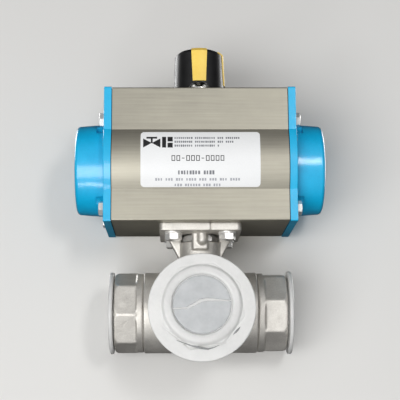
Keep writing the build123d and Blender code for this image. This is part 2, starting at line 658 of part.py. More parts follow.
def end_connector(direction, turn):
    """Screwed body end: spigot with the seat pocket, collar ring and octagonal wrench end."""
    centre = valve_centre()
    octagon = prism(direction, 8, OCTAGON_FLATS, RING_OUT - 0.5, PORT_FACE, centre, turn)
    along = Axis(centre, direction)
    octagon = fillet(octagon.edges().filter_by(along), OCTAGON_EDGE)
    # both ends of the octagon are turned to a cone
    octagon &= cone(direction, OCTAGON_END_R + 14, OCTAGON_END_R, PORT_FACE - 24, PORT_FACE, centre)
    octagon &= cone(direction, OCTAGON_END_R, OCTAGON_END_R + 13, RING_OUT - 0.7, PORT_FACE, centre)
    piece = octagon + rod(direction, RING_R, RING_IN, RING_OUT, centre)
    circles = piece.edges().filter_by(GeomType.CIRCLE)
    first = min(circles, key=lambda edge: (edge.center() - Vector(*centre)).dot(Vector(*direction)))
    piece = chamfer(first, 0.5)
    piece += rod(direction, CHAMBER_R - 0.2, SPIGOT_BACK, RING_IN, centre)
    piece += rod(direction, SEAT_POCKET[0], SEAT_POCKET[1], SPIGOT_BACK + 0.1, centre)
    piece -= rod(direction, WATERWAY_R, SEAT_POCKET[1] - 1, PORT_FACE, centre)
    piece -= rod(direction, SEAT_R + RUNNING, SEAT_POCKET[1] - 1, SEAT_OUT + RUNNING, centre)
    inner_r = SOCKET_R - SOCKET_DEPTH * NPT_SLOPE
    piece -= cone(direction, inner_r, SOCKET_R, PORT_FACE - SOCKET_DEPTH, PORT_FACE, centre)
    piece -= cone(direction, SOCKET_R, SOCKET_R + 1, PORT_FACE - 1, PORT_FACE, centre)
    return piece


def body_gasket(direction):
    inner, outer = CHAMBER_R - 0.15, GASKET_BORE_R - RUNNING
    return ring(direction, outer, inner, RUN_END - GASKET_BORE + RUNNING, RING_IN - 0.02, valve_centre())


def seat(direction):
    """Ring seat with a spherical face on the ball."""
    blank = ring(direction, SEAT_R, SEAT_HOLE_R, SEAT_IN, SEAT_OUT, valve_centre())
    # the ball's seam is turned away from the ports
    return blank - Pos(*valve_centre()) * Rot(90, 0, 45) * Sphere(BALL_R + 0.02)


def ball():
    """L-port ball, open to the branch and to the right."""
    centre = valve_centre()
    width, depth = BALL_SLOT
    body = Pos(*centre) * Sphere(BALL_R)
    body -= Pos(*centre) * Sphere(BALL_PORT_R)
    for direction in ((0, -1, 0), X_AXIS):
        body -= rod(direction, BALL_PORT_R, 0, BALL_R + 1, centre)
    top = PORT_Z + BALL_R
    return body - block((-width / 2, width / 2), (-BALL_R, BALL_R), (top - depth, top + 1))


def stem():
    thick, wide = TANG
    flange_r, low, high = STEM_FLANGE
    tang_foot = PORT_Z + BALL_R - BALL_SLOT[1] + 0.2
    piece = block((-thick / 2, thick / 2), (-wide / 2, wide / 2), (tang_foot, low + 0.7))
    piece += rod(Z_AXIS, flange_r, low, high)
    piece += rod(Z_AXIS, STEM_R, high - 0.2, -PAD_THICK + 0.4)
    drive = square_bar(SQUARE, -PAD_THICK - 0.1, STEM_TOP)
    return piece + (drive & rod(Z_AXIS, STEM_R + 0.05, -PAD_THICK - 1, STEM_TOP + 1))


def vee(inner, outer, low, top, cupped):
    """Outline of a packing ring with a V underneath, and one on top if it is cupped."""
    middle = (inner + outer) / 2
    points = [(inner, low), (middle, low + PACKING_DEEP), (outer, low), (outer, top)]
    if cupped:
        points.append((middle, top + PACKING_DEEP))
    return points + [(inner, top)]


def stem_packing():
    """Three chevron rings, nested upwards."""
    rings = []
    for index in range(3):
        low = PACKING_FLOOR + 0.05 + PACKING_PITCH * index
        outline = vee(STEM_R + RUNNING, PACKING_R - RUNNING, low, low + PACKING_RING, True)
        rings.append(spin(outline, Z_AXIS))
    return rings


def gland_bush():
    low = PACKING_FLOOR + 0.05 + PACKING_PITCH * 3
    return spin(vee(STEM_R + SEAL_GAP, PACKING_R - SEAL_GAP, low, GLAND_TOP, False), Z_AXIS)


def disc_springs():
    """Two cupped washers, nested under the stem nut."""
    inner, outer = SPRING_R
    springs = []
    for foot in SPRING_FEET:
        outline = [(inner, foot), (outer, foot - SPRING_CONE),
                   (outer, foot - SPRING_CONE + SPRING_THICK), (inner, foot + SPRING_THICK)]
        springs.append(spin(outline, Z_AXIS))
    return springs


def stem_nut():
    low, high = STEM_NUT_Z
    nut = prism(Z_AXIS, 6, STEM_NUT_FLATS, low, high, turn=12)
    nut &= cone(Z_AXIS, 11.6, 8.8, low - 0.7, high + 0.3)
    return nut - rod(Z_AXIS, STEM_R + 0.06, low - 1, high + 1)


def mounting_bolts():
    head_top = -PAD_THICK - WASHER[2]
    low = head_top - M5_HEAD
    flat_r = M5_FLATS * HEAD_TOP_R
    bolts = []
    for (x, y), turn in zip(face_bolt_places(), (4, 26, 12, 20)):
        head = prism(Z_AXIS, 6, M5_FLATS, low, head_top, (x, y, 0), turn)
        head &= cone(Z_AXIS, flat_r, flat_r + HEAD_CHAMFER * M5_HEAD, low, head_top, (x, y, 0))
        bolts.append(head + rod(Z_AXIS, M5_R, head_top, M5_TIP, (x, y, 0)))
    return bolts


def mounting_washers():
    outer, inner, thick = WASHER
    return [ring(Z_AXIS, outer, inner, -PAD_THICK - thick, -PAD_THICK, (x, y, 0))
            for x, y in face_bolt_places()]


def port_plug(direction, flange_r, flange_thick, lip, gap, shift=(0, 0, 0)):
    """Push-in plastic plug: thin flange, raised rim, web closing the mouth, and an open skirt."""
    centre = valve_centre()
    face = PORT_FACE + gap
    outside = face + flange_thick
    middle = Vector(*centre) + Vector(*shift)
    flange = rod(direction, flange_r, face, outside, tuple(middle))
    flange = fillet(flange.edges().filter_by(GeomType.CIRCLE), min(0.7, flange_thick * 0.4))
    mouth, tip, inner_end = PLUG_MOUTH_R, PLUG_TIP_R, face - PLUG_DEPTH
    web = outside - PLUG_WEB_DROP
    skirt = [(0, web - PLUG_WALL), (mouth - PLUG_WALL, web - PLUG_WALL), (tip - PLUG_WALL, inner_end),
             (tip, inner_end), (mouth, face), (mouth, outside), (mouth + PLUG_LIP, outside),
             (mouth + PLUG_LIP - 0.6, outside + lip), (mouth, outside + lip), (mouth - 0.4, web), (0, web)]
    hole = rod(direction, mouth - 0.3, face - 1, outside + 1, centre)
    return (flange - hole) + spin(skirt, direction, centre)


def write(name, shape):
    """One STEP file per node; a list of solids is written as a group."""
    solids = shape if isinstance(shape, list) else [shape]
    to_origin = Pos(0, 0, -PORT_Z)
    pieces = [to_origin * solid for item in solids for solid in item.solids()]
    node = pieces[0] if len(pieces) == 1 else Compound(children=pieces)
    node.label = name
    export_step(node, os.path.join("parts", name + ".step"))
    print(f"{name:26s} {len(pieces)} solid(s) {sum(p.volume for p in pieces):12.1f} mm3")


def main():
    os.makedirs("parts", exist_ok=True)
    marker = indicator_marker()
    nodes = {
        "actuator_body": actuator_body(),
        "name_label": name_label(),
        "lower_bush": ring(Z_AXIS, LOWER_BUSH_R - 0.02, JOURNAL_R + RUNNING, 0.1, LOWER_BUSH_TOP - 0.05),
        "upper_bush": ring(Z_AXIS, UPPER_BUSH_R - 0.02, SHAFT_R + RUNNING, UPPER_BUSH_FOOT + 0.05,
                           TOP_BOSS_Z - 0.05),
        "pinion": pinion(),
        "pinion_lower_oring": oring(Z_AXIS, 10.3, 0.75, 6.2),
        "pinion_upper_oring": oring(Z_AXIS, 6.45, 0.6, 65.0),
        "inner_thrust_washer": ring(Z_AXIS, SHOULDER_R - 0.2, SHAFT_R + RUNNING, *THRUST_WASHER_Z),
        "outer_thrust_washer": ring(Z_AXIS, 12.2, SHAFT_R + RUNNING, *OUTER_WASHER_Z),
        "retaining_washer": ring(Z_AXIS, 11.4, SHAFT_R + RUNNING, *RETAINER_Z),
        "circlip": upper_circlip(),
        "position_indicator": position_indicator(marker),
        "indicator_marker": marker,
        "indicator_screw": indicator_screw(),
        "valve_body": valve_body(),
        "rear_seat": seat(Y_AXIS),
        "ball": ball(),
        "stem": stem(),
        "stem_thrust_seal": ring(Z_AXIS, STEM_POCKET[0] - 0.05, STEM_R + RUNNING, *THRUST_SEAL_Z),
        "stem_packing": stem_packing(),
        "gland_bush": gland_bush(),
        "disc_springs": disc_springs(),
        "stem_nut": stem_nut(),
        "mounting_bolts": mounting_bolts(),
        "mounting_washers": mounting_washers(),
    }
    right_pieces = {
        "end_cap": right_end_cap(),
        "cap_gasket": right_gasket(),
        "stroke_screw": right_stroke_screw(),
        "stroke_nut": right_stroke_nut(),
        "piston": right_piston(),
        "piston_oring": right_piston_oring(),
        "piston_ring": right_piston_ring(),
        "rack_pad": rack_pad_shape(),
    }
    mirrored = ("end_cap", "cap_gasket", "stroke_screw", "stroke_nut")
    for name, shape in right_pieces.items():
        nodes["right_" + name] = shape
        nodes["left_" + name] = mirror(shape, Plane.YZ) if name in mirrored else half_turn(shape)
    nodes["right_cap_bolts"] = cap_bolts(1)
    nodes["left_cap_bolts"] = cap_bolts(-1)
    # direction of each port, and how far its octagon is turned when it is screwed home
    ports = {"left": ((-1, 0, 0), 37.5), "right": ((1, 0, 0), -12.0), "front": ((0, -1, 0), 7.3)}
    for side, (direction, turn) in ports.items():
        nodes[side + "_end_connector"] = end_connector(direction, turn)
        nodes[side + "_body_gasket"] = body_gasket(direction)
        nodes[side + "_seat"] = seat(direction)
    nodes["left_port_plug"] = port_plug((-1, 0, 0), 22.6, 2.1, 0.3, 0.7)
    nodes["right_port_plug"] = port_plug((1, 0, 0), 22.9, 2.2, 0.3, 1.1)
    nodes["front_port_plug"] = port_plug((0, -1, 0), 28.1, 1.5, 1.2, 0.15, (0, 0, -1.4))
    for name, shape in nodes.items():
        write(name, shape)


main()
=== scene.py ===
import math
import random

import bmesh
import bpy
import numpy as np
from mathutils import Matrix, Vector, noise
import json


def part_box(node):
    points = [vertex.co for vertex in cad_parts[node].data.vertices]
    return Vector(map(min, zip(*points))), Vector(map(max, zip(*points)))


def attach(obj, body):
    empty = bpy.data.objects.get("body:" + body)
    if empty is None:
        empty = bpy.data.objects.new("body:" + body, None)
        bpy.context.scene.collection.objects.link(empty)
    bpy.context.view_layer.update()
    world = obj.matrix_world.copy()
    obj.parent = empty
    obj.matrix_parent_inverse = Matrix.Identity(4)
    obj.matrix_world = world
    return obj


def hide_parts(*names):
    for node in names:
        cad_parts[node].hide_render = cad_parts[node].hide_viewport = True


# Looks of a pneumatic rotary actuator on a three-way ball valve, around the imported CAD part.
# Metres. The origin is the ball's centre, +Z runs up the pinion, the branch port faces -Y.

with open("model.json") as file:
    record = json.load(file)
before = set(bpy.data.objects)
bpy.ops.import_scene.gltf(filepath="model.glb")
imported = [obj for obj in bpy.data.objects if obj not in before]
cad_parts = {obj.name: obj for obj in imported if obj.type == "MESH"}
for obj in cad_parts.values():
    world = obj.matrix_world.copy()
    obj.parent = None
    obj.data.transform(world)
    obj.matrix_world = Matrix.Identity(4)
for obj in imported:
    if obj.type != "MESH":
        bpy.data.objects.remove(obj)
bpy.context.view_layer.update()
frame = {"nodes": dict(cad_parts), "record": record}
NODES = frame["nodes"]
MM = 0.001
random.seed(7)


# ------------------------------------------------------------------ materials

def linear(r, g, b):
    """Display colour, 0 to 255, as the linear colour that a shader takes."""
    def channel(value):
        value /= 255
        return value / 12.92 if value <= 0.04045 else ((value + 0.055) / 1.055) ** 2.4
    return (channel(r), channel(g), channel(b), 1.0)


def surface(name, dark, light, rough, metallic=0.0, grain=1.0, bump=0.01, stretch=(1, 1, 1),
            mottle=14.0, spread=0.05, mix=0.5, coat=0.0, coat_rough=0.1, transmission=0.0,
            ior=1.5, scratches=0.0, subsurface=0.0):
    """A procedural finish: fine grain and broad mottling drive colour, roughness and bump.

    grain and mottle are feature sizes in mm, bump is the relief in mm, and spread is how far
    the roughness wanders either way."""
    material = bpy.data.materials.new(name)
    material.use_nodes = True
    tree = material.node_tree
    shader = tree.nodes["Principled BSDF"]
    link = tree.links.new

    coordinates = tree.nodes.new("ShaderNodeTexCoord")
    mapping = tree.nodes.new("ShaderNodeMapping")
    mapping.inputs["Scale"].default_value = stretch
    link(coordinates.outputs["Object"], mapping.inputs["Vector"])

    fine = tree.nodes.new("ShaderNodeTexNoise")
    fine.inputs["Scale"].default_value = 1 / (grain * MM)
    fine.inputs["Detail"].default_value = 3.0
    link(mapping.outputs["Vector"], fine.inputs["Vector"])
    broad = tree.nodes.new("ShaderNodeTexNoise")
    broad.inputs["Scale"].default_value = 1 / (mottle * MM)
    broad.inputs["Detail"].default_value = 4.0
    broad.inputs["Roughness"].default_value = 0.6
    link(coordinates.outputs["Object"], broad.inputs["Vector"])

    blend = tree.nodes.new("ShaderNodeMix")
    blend.inputs["Factor"].default_value = mix
    link(fine.outputs["Fac"], blend.inputs["A"])
    link(broad.outputs["Fac"], blend.inputs["B"])

    ramp = tree.nodes.new("ShaderNodeValToRGB")
    ramp.color_ramp.elements[0].position = 0.32
    ramp.color_ramp.elements[0].color = dark
    ramp.color_ramp.elements[1].position = 0.68
    ramp.color_ramp.elements[1].color = light
    link(blend.outputs["Result"], ramp.inputs["Fac"])
    link(ramp.outputs["Color"], shader.inputs["Base Color"])

    gloss = tree.nodes.new("ShaderNodeMapRange")
    gloss.inputs["From Min"].default_value = 0.3
    gloss.inputs["From Max"].default_value = 0.7
    gloss.inputs["To Min"].default_value = max(0.02, rough - spread)
    gloss.inputs["To Max"].default_value = rough + spread
    link(blend.outputs["Result"], gloss.inputs["Value"])
    link(gloss.outputs["Result"], shader.inputs["Roughness"])

    relief = tree.nodes.new("ShaderNodeBump")
    relief.inputs["Distance"].default_value = bump * MM
    link(fine.outputs["Fac"], relief.inputs["Height"])
    last = relief
    if scratches:
        hair = tree.nodes.new("ShaderNodeTexNoise")
        hair.inputs["Scale"].default_value = 1 / (0.35 * MM)
        hair.inputs["Detail"].default_value = 2.0
        streak = tree.nodes.new("ShaderNodeMapping")
        streak.inputs["Scale"].default_value = (0.012, 1.0, 1.0)
        link(coordinates.outputs["Object"], streak.inputs["Vector"])
        link(streak.outputs["Vector"], hair.inputs["Vector"])
        fibre = tree.nodes.new("ShaderNodeBump")
        fibre.inputs["Distance"].default_value = scratches * MM
        link(hair.outputs["Fac"], fibre.inputs["Height"])
        link(relief.outputs["Normal"], fibre.inputs["Normal"])
        last = fibre
    link(last.outputs["Normal"], shader.inputs["Normal"])
    link(last.outputs["Normal"], shader.inputs["Coat Normal"])

    for socket, value in (("Metallic", metallic), ("Coat Weight", coat), ("Coat Roughness", coat_rough),
                          ("Transmission Weight", transmission), ("IOR", ior),
                          ("Subsurface Weight", subsurface)):
        shader.inputs[socket].default_value = value
    shader.inputs["Subsurface Radius"].default_value = (1.0, 1.0, 1.0)
    shader.inputs["Subsurface Scale"].default_value = 2.0 * MM
    return material


DRAWN_ALUMINIUM = surface(
    "drawn_aluminium", linear(157, 153, 141), linear(174, 170, 156), 0.46, metallic=0.8, grain=0.9,
    bump=0.004, stretch=(0.03, 1, 1), mottle=22, spread=0.05, mix=0.45, scratches=0.008)
BLUE_POWDER = surface(
    "blue_powder_coat", linear(0, 172, 222), linear(0, 184, 234), 0.4, grain=0.8, bump=0.06,
    mottle=9, spread=0.05, mix=0.6, coat=0.9, coat_rough=0.13)
CAST_STAINLESS = surface(
    "blasted_stainless_casting", linear(200, 196, 189), linear(227, 224, 217), 0.5, metallic=0.72,
    grain=0.55, bump=0.03, mottle=7, spread=0.06, mix=0.5)
POLISHED_STAINLESS = surface(
    "polished_stainless", linear(205, 203, 199), linear(222, 220, 216), 0.12, metallic=1.0,
    grain=0.8, bump=0.002, mottle=8, spread=0.03, mix=0.5)
BRIGHT_FASTENER = surface(
    "bright_fastener", linear(232, 230, 226), linear(246, 245, 242), 0.32, metallic=0.6, grain=0.5,
    bump=0.006, mottle=3, spread=0.06, mix=0.4)
DIE_CAST = surface(
    "die_cast_aluminium", linear(165, 166, 168), linear(196, 197, 199), 0.45, metallic=1.0,
    grain=0.7, bump=0.015, mottle=8, spread=0.06)
NICKEL = surface(
    "nickel_plated_steel", linear(190, 184, 170), linear(212, 207, 194), 0.22, metallic=1.0,
    grain=0.5, bump=0.003, mottle=5, spread=0.05)
BLACK_PLASTIC = surface(
    "black_moulded_plastic", linear(14, 14, 15), linear(27, 27, 28), 0.38, grain=0.45, bump=0.008,
    mottle=6, spread=0.07)
YELLOW_PLASTIC = surface(
    "yellow_moulded_plastic", linear(250, 208, 92), linear(255, 222, 110), 0.4, grain=0.5,
    bump=0.006, mottle=5, spread=0.06, subsurface=0.1)
NITRILE = surface(
    "nitrile_rubber", linear(16, 16, 16), linear(30, 30, 30), 0.6, grain=0.3, bump=0.008, mottle=4,
    spread=0.08)
BLACK_ACETAL = surface(
    "black_acetal", linear(20, 20, 21), linear(36, 36, 37), 0.35, grain=0.4, bump=0.005, mottle=5)
WHITE_ACETAL = surface(
    "white_acetal", linear(216, 216, 210), linear(234, 234, 229), 0.36, grain=0.5, bump=0.004,
    mottle=6, subsurface=0.15)
PTFE = surface(
    "ptfe", linear(232, 232, 228), linear(244, 244, 241), 0.42, grain=0.4, bump=0.003, mottle=5,
    subsurface=0.25)
LABEL_FILM = surface(
    "label_film", linear(230, 231, 231), linear(237, 238, 238), 0.38, grain=0.6, bump=0.003,
    mottle=16, spread=0.04, coat=0.15, coat_rough=0.25)
DARK_INK = surface(
    "dark_ink", linear(18, 18, 20), linear(30, 30, 32), 0.4, grain=0.3, bump=0.001, mottle=2)
GREY_INK = surface(
    "grey_ink", linear(96, 98, 104), linear(128, 130, 136), 0.4, grain=0.3, bump=0.001, mottle=2)
PALE_INK = surface(
    "pale_ink", linear(150, 152, 158), linear(176, 178, 184), 0.4, grain=0.3, bump=0.001, mottle=2)
POLYETHYLENE = surface(
    "translucent_polyethylene", linear(234, 234, 232), linear(244, 244, 242), 0.34, grain=1.6,
    bump=0.02, mottle=10, spread=0.05, mix=0.6, transmission=0.3, ior=1.45)
# Grey of the sheet on the branch plug's web: painted shade, the plastic there being the plug's own white
WEB_PAINTED_SHADE = surface(
    "thin_polyethylene", linear(178, 181, 182), linear(194, 196, 197), 0.36, grain=2.0, bump=0.01,
    mottle=6, spread=0.05, mix=0.8, ior=1.45, subsurface=0.2)
# Dark grey of the strips in the front plug's flange creases: painted shadow
CREASE_PAINTED_SHADOW = surface(
    "creased_polyethylene", linear(112, 114, 114), linear(150, 152, 152), 0.4, grain=0.8, bump=0.01,
    mottle=4, spread=0.05, mix=0.7, ior=1.45)

SLOT_FINISH = {
    "anodised_aluminium": DRAWN_ALUMINIUM,
    "label_film": LABEL_FILM,
    "white_acetal": WHITE_ACETAL,
    "black_acetal": BLACK_ACETAL,
    "nickel_plated_steel": NICKEL,
    "nitrile": NITRILE,
    "stainless_fasteners": BRIGHT_FASTENER,
    "black_plastic": BLACK_PLASTIC,
    "yellow_plastic": YELLOW_PLASTIC,
    "blue_paint": BLUE_POWDER,
    "cast_aluminium": DIE_CAST,
    "cast_stainless": CAST_STAINLESS,
    "polished_stainless": POLISHED_STAINLESS,
    "ptfe": PTFE,
    "white_polyethylene": POLYETHYLENE,
}

for part in frame["record"]["subparts"]:
    node = NODES[part["node"]]
    finish = SLOT_FINISH[part["material_slot"]]
    if not node.material_slots:
        node.data.materials.append(finish)
    for held in node.material_slots:
        held.material = finish


# ------------------------------------------------------------------ making pieces

def piece(name, mesh, material, body, replaced=()):
    """Puts a finished mesh in the scene on the body it rides on, and hides the CAD parts it replaces."""
    obj = bpy.data.objects.new(name, mesh)
    bpy.context.scene.collection.objects.link(obj)
    if not obj.data.materials:
        obj.data.materials.append(material)
    obj.data.materials[0] = material
    for face in obj.data.polygons:
        face.use_smooth = True
        face.material_index = 0
    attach(obj, body)
    if replaced:
        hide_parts(*replaced)
    return obj


def remeshed(node, voxel, rounds):
    """A copy of a CAD mesh as an even skin, its sharp edges worn round."""
    source = NODES[node]
    trial = bpy.data.objects.new("trial", source.data.copy())
    bpy.context.scene.collection.objects.link(trial)
    remesh = trial.modifiers.new("skin", "REMESH")
    remesh.mode = "VOXEL"
    remesh.voxel_size = voxel * MM
    soften = trial.modifiers.new("soften", "SMOOTH")
    soften.factor = 0.5
    soften.iterations = rounds
    graph = bpy.context.evaluated_depsgraph_get()
    mesh = bpy.data.meshes.new_from_object(trial.evaluated_get(graph))
    bpy.data.objects.remove(trial)
    return mesh


def points_of(mesh):
    flat = np.empty(len(mesh.vertices) * 3)
    mesh.vertices.foreach_get("co", flat)
    return flat.reshape(-1, 3)


def normals_of(mesh):
    flat = np.empty(len(mesh.vertices) * 3)
    mesh.vertices.foreach_get("normal", flat)
    return flat.reshape(-1, 3)


def set_points(mesh, points):
    mesh.vertices.foreach_set("co", points.ravel())
    mesh.update()


def roughen(mesh, height, size, seed):
    """Moves a skin in and out along its normals by smooth noise, both in mm."""
    points, normals = points_of(mesh), normals_of(mesh)
    shift = Vector((seed, 2 * seed, -seed))
    lumps = [noise.noise(Vector(p) / (size * MM) + shift) for p in points]
    set_points(mesh, points + normals * (np.array(lumps) * height * MM)[:, None])


def cut_thread(mesh, direction, face, depth, socket_r, pitch, relief):
    """Cuts a tapered pipe thread into the wall of a connector's socket."""
    along = Vector(direction)
    across = along.orthogonal().normalized()
    other = along.cross(across)
    points, normals = points_of(mesh), normals_of(mesh)
    axial = points @ np.array(along)
    u, v = points @ np.array(across), points @ np.array(other)
    radius = np.hypot(u, v)
    angle = np.arctan2(v, u)
    safe_radius = np.maximum(radius, 1e-9)
    outward = u * (normals @ np.array(across)) + v * (normals @ np.array(other))
    outward = outward / safe_radius
    inside = ((outward < -0.5) & (radius < socket_r + THREAD_MARGIN)
              & (axial > face - depth) & (axial < face - THREAD_LEAD_IN))
    phase = (axial / pitch + angle / (2 * math.pi)) % 1.0
    tooth = 1 - np.abs(2 * phase - 1)
    fade = np.clip((axial - (face - depth)) / THREAD_RUN_OUT, 0, 1)
    grow = np.where(inside, tooth * relief * fade, 0.0)
    radial = np.outer(u / safe_radius, across) + np.outer(v / safe_radius, other)
    set_points(mesh, points + radial * grow[:, None])


def turn_faces_out(mesh):
    clean = bmesh.new()
    clean.from_mesh(mesh)
    bmesh.ops.recalc_face_normals(clean, faces=clean.faces)
    clean.to_mesh(mesh)
    clean.free()


def grid_mesh(name, rows):
    """A closed mesh from rings of points, each joined to the next, with a cap on both ends."""
    mesh = bpy.data.meshes.new(name)
    count = len(rows[0])
    points = [tuple(p) for row in rows for p in row]
    faces = []
    for i in range(len(rows) - 1):
        for j in range(count):
            k = (j + 1) % count
            faces.append((i * count + j, i * count + k, (i + 1) * count + k, (i + 1) * count + j))
    for row, turned in ((0, True), (len(rows) - 1, False)):
        loop = [row * count + j for j in range(count)]
        centre = len(points)
        points.append(tuple(sum((Vector(points[i]) for i in loop), Vector()) / count))
        for j in range(count):
            a, b = loop[j], loop[(j + 1) % count]
            faces.append((centre, b, a) if turned else (centre, a, b))
    mesh.from_pydata(points, [], faces)
    turn_faces_out(mesh)
    return mesh


# ------------------------------------------------------------------ stainless castings

PORT_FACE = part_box("left_end_connector")[0][0] * -1
SOCKET_R = 16.3 * MM
SOCKET_DEPTH = 18 * MM
NPT_PITCH = 25.4 / 11.5 * MM
THREAD_RELIEF = 0.7 * MM
THREAD_LEAD_IN = 1.2 * MM
THREAD_RUN_OUT = 3 * MM
THREAD_MARGIN = 0.6 * MM

# The mould's parting line on the mounting pad, in mm
PARTING_X = 5.75
PAD_FRONT_Y = -21.2
PAD_UNDERSIDE_Z = 42.4
PARTING_GROOVE = 0.5
PARTING_STEP = 0.16

# Voxel of each remeshed skin, and the relief that blasting and casting leave, in mm
VALVE_VOXEL, CONNECTOR_VOXEL = 0.52, 0.45
SMOOTHING_ROUNDS = 1
FINE_RELIEF, FINE_SIZE = 0.05, 0.9
BROAD_RELIEF, BROAD_SIZE = 0.10, 6.0


def part_line(mesh):
    """Groove and step left by the mould's parting across the front edge of the mounting pad."""
    points = points_of(mesh)
    x, y, z = (points / MM).T
    front = (y < PAD_FRONT_Y) & (z > PAD_UNDERSIDE_Z)
    line = np.exp(-((x - PARTING_X) / 0.3) ** 2) * PARTING_GROOVE
    raised = PARTING_STEP / (1 + np.exp((x - PARTING_X) / 0.2))
    points[:, 1] += np.where(front, line - raised, 0.0) * MM
    set_points(mesh, points)


DIRECTIONS = {"left": (-1, 0, 0), "right": (1, 0, 0), "front": (0, -1, 0)}
castings = [("valve_body", VALVE_VOXEL)]
castings += [(side + "_end_connector", CONNECTOR_VOXEL) for side in DIRECTIONS]
for index, (node, voxel) in enumerate(castings):
    skin = remeshed(node, voxel, SMOOTHING_ROUNDS)
    roughen(skin, FINE_RELIEF, FINE_SIZE, index + 1.0)
    roughen(skin, BROAD_RELIEF, BROAD_SIZE, index + 5.0)
    side = node.split("_")[0]
    if node == "valve_body":
        part_line(skin)
    if side in DIRECTIONS:
        cut_thread(skin, DIRECTIONS[side], PORT_FACE, SOCKET_DEPTH, SOCKET_R, NPT_PITCH, THREAD_RELIEF)
    piece(node + "_casting", skin, CAST_STAINLESS, "housing", (node,))


# ------------------------------------------------------------------ port plugs

# All in mm. Heights run out of the port from its face.
SKIRT_MOUTH_R, SKIRT_TIP_R = 15.95, 15.45
SKIRT_WALL = 1.1
SKIRT_DEEP = 12.0
LIP_WIDE = 5.0
WEB_DROP = 0.2
RING_POINTS = 192

# The octagonal wrench end behind the branch plug
OCTAGON_TURN = math.radians(7.3)
OCTAGON_HALF = 20.9

FRONT_GAP, FRONT_THICK = 0.15, 1.3
FRONT_WEB = FRONT_GAP + FRONT_THICK - WEB_DROP
CREASE_SHADOW_LEVEL = 1.32


def plug_rows(rim_r, thick, lip, gap, shift, droop, wave, imprint, seed):
    """Rows of points (across, up, out of the port) from the web's centre over the rim and back."""
    outside = gap + thick
    web = outside - WEB_DROP
    mouth, tip, wall, end = SKIRT_MOUTH_R, SKIRT_TIP_R, SKIRT_WALL, gap - SKIRT_DEEP
    root = mouth + LIP_WIDE
    # (radius, height above the port's face, share of the rim's shift and waviness)
    front = [(0.4, web, 0), (5, web, 0), (10, web, 0), (13.5, web, 0), (14.9, web, 0),
             (15.4, web + 0.1, 0), (15.6, web + 0.35, 0), (15.75, outside + lip * 0.75, 0),
             (mouth + 0.3, outside + lip, 0), (mouth + 1.6, outside + lip * 1.05, 0),
             (mouth + 3.2, outside + lip * 1.02, 0),
             (mouth + 4.1, outside + lip * 0.8, 0.02), (mouth + 4.6, outside + lip * 0.3, 0.05),
             (root, outside, 0.1)]
    span = rim_r - 0.5 - root
    steps = 26 if span > 4 else 4
    for i in range(1, steps + 1):
        share = i / steps
        front.append((root + span * share, outside - droop * share ** 1.5, 0.1 + 0.9 * share))
    front.append((rim_r - 0.12, outside - droop - 0.25, 1))
    front.append((rim_r, outside - droop - thick / 2, 1))
    back = [(rim_r - 0.12, outside - droop - thick + 0.15, 1),
            (rim_r - 0.6, outside - droop - thick, 1)]
    for i in reversed(range(1, steps)):
        share = i / steps
        back.append((root + span * share, outside - thick - droop * share ** 1.5, 0.1 + 0.9 * share))
    back += [(mouth + 4.0, gap, 0), (mouth + 0.3, gap, 0), (mouth, gap - 0.4, 0),
             (mouth - 0.25, -6, 0), (tip, end + 0.4, 0), (tip - 0.3, end, 0), (tip - wall + 0.2, end, 0),
             (tip - wall, end + 0.3, 0), (mouth - wall - 0.25, -6, 0), (mouth - wall, web - wall - 0.5, 0),
             (mouth - wall - 0.5, web - wall, 0), (8, web - wall, 0), (0.4, web - wall, 0)]
    rows = []
    for index, (radius, height, share) in enumerate(front + back):
        row = []
        for j in range(RING_POINTS):
            angle = 2 * math.pi * j / RING_POINTS
            ripple = noise.noise(Vector((math.cos(angle) * 1.4, math.sin(angle) * 1.4, seed)))
            h = height + wave * ripple * share
            if share > 0:
                h += imprint(radius, angle) * (1.0 if index < len(front) else 0.6)
            row.append((radius * math.cos(angle) + shift[0] * share,
                        radius * math.sin(angle) + shift[1] * share, h))
        rows.append(row)
    return rows


def no_imprint(radius, angle):
    return 0.0


def octagon_imprint(radius, angle):
    """Mark that the octagon behind presses into the soft flange, deeper along its lower edges."""
    sector = (angle - OCTAGON_TURN + math.pi / 8) % (math.pi / 4) - math.pi / 8
    edge = OCTAGON_HALF / math.cos(sector)
    low = max(0.0, -math.sin(angle)) ** 2
    beyond = 1 / (1 + math.exp(-(radius - edge) / 0.25))
    crease = math.exp(-((radius - edge - 0.3) / 0.42) ** 2)
    return -(0.12 + 0.3 * low) * beyond - (0.08 + 1.15 * low) * crease


def plug(side, rim_r, thick, lip, gap, shift, droop, wave, imprint=no_imprint):
    """A push-in plug, lathed with a slightly wavy rim, in its port."""
    rows = plug_rows(rim_r, thick, lip, gap, shift, droop, wave, imprint, len(side))
    placed = [[in_port(side, a, b, h) for a, b, h in row] for row in rows]
    mesh = grid_mesh(side + "_plug_skin", placed)
    piece(side + "_plug_moulding", mesh, POLYETHYLENE, side + "_plug",
          (side + "_port_plug",))


def in_port(side, across, up, out):
    """A point given in millimetres from the centre of a port's face."""
    along = Vector(DIRECTIONS[side])
    sideways = Vector((0, 0, 1)).cross(along)
    return along * PORT_FACE + (sideways * across + Vector((0, 0, 1)) * up + along * out) * MM


def painted_web_shade():
    """A faintly uneven grey sheet on the web that closes the branch plug: painted shade, greyer than the
    plug's own white plastic.
    """
    rows = []
    for radius, drop in ((0.3, 0), (3, 0), (6, 0), (9, 0), (12, 0), (14, 0), (15.2, 0), (15.2, 0.3),
                         (6, 0.3), (0.3, 0.3)):
        ring = []
        for j in range(96):
            angle = 2 * math.pi * j / 96
            x, z = radius * math.cos(angle), radius * math.sin(angle)
            swell = 0.08 + 0.1 * noise.noise(Vector((x, z, 3)) / 5)
            ring.append(in_port("front", x, z, FRONT_WEB + swell - drop))
        rows.append(ring)
    mesh = grid_mesh("branch_plug_web", rows)
    piece("branch_plug_web", mesh, WEB_PAINTED_SHADE, "front_plug")


